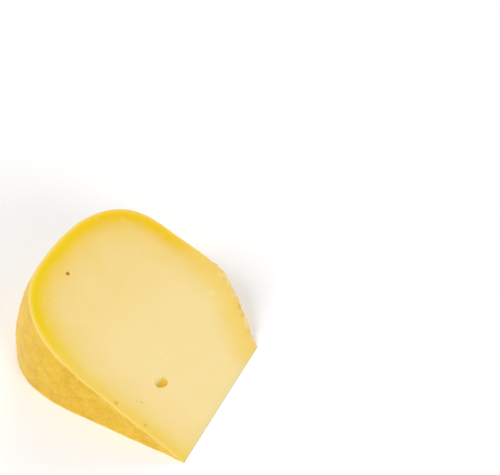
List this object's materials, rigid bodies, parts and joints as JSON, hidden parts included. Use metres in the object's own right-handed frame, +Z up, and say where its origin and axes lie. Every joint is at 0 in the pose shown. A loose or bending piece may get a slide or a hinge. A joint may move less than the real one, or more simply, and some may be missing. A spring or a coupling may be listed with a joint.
{
  "type": "cheese wedge",
  "caption": "Wedge of smooth yellow semi-hard cheese with rind on its rim and both faces, small eyes in the cut faces and a torn corner, lying on one cut face.",
  "frame": {"origin": "on the surface it lies on, under the middle of its bounding box", "axes": "+Z up from the lower cut face, +X from the rim towards the tip edge where the two cuts meet, +Y along the tip edge from the wheel face that shows to the other one"},
  "size_m": [0.12, 0.1118, 0.0582],
  "materials": {
    "cheese": "smooth cream-yellow paste, deeper yellow under a thin mottled rind"
  },
  "bodies": {
    "root": {"cheese_wedge": "cheese"}
  },
  "joints": []
}
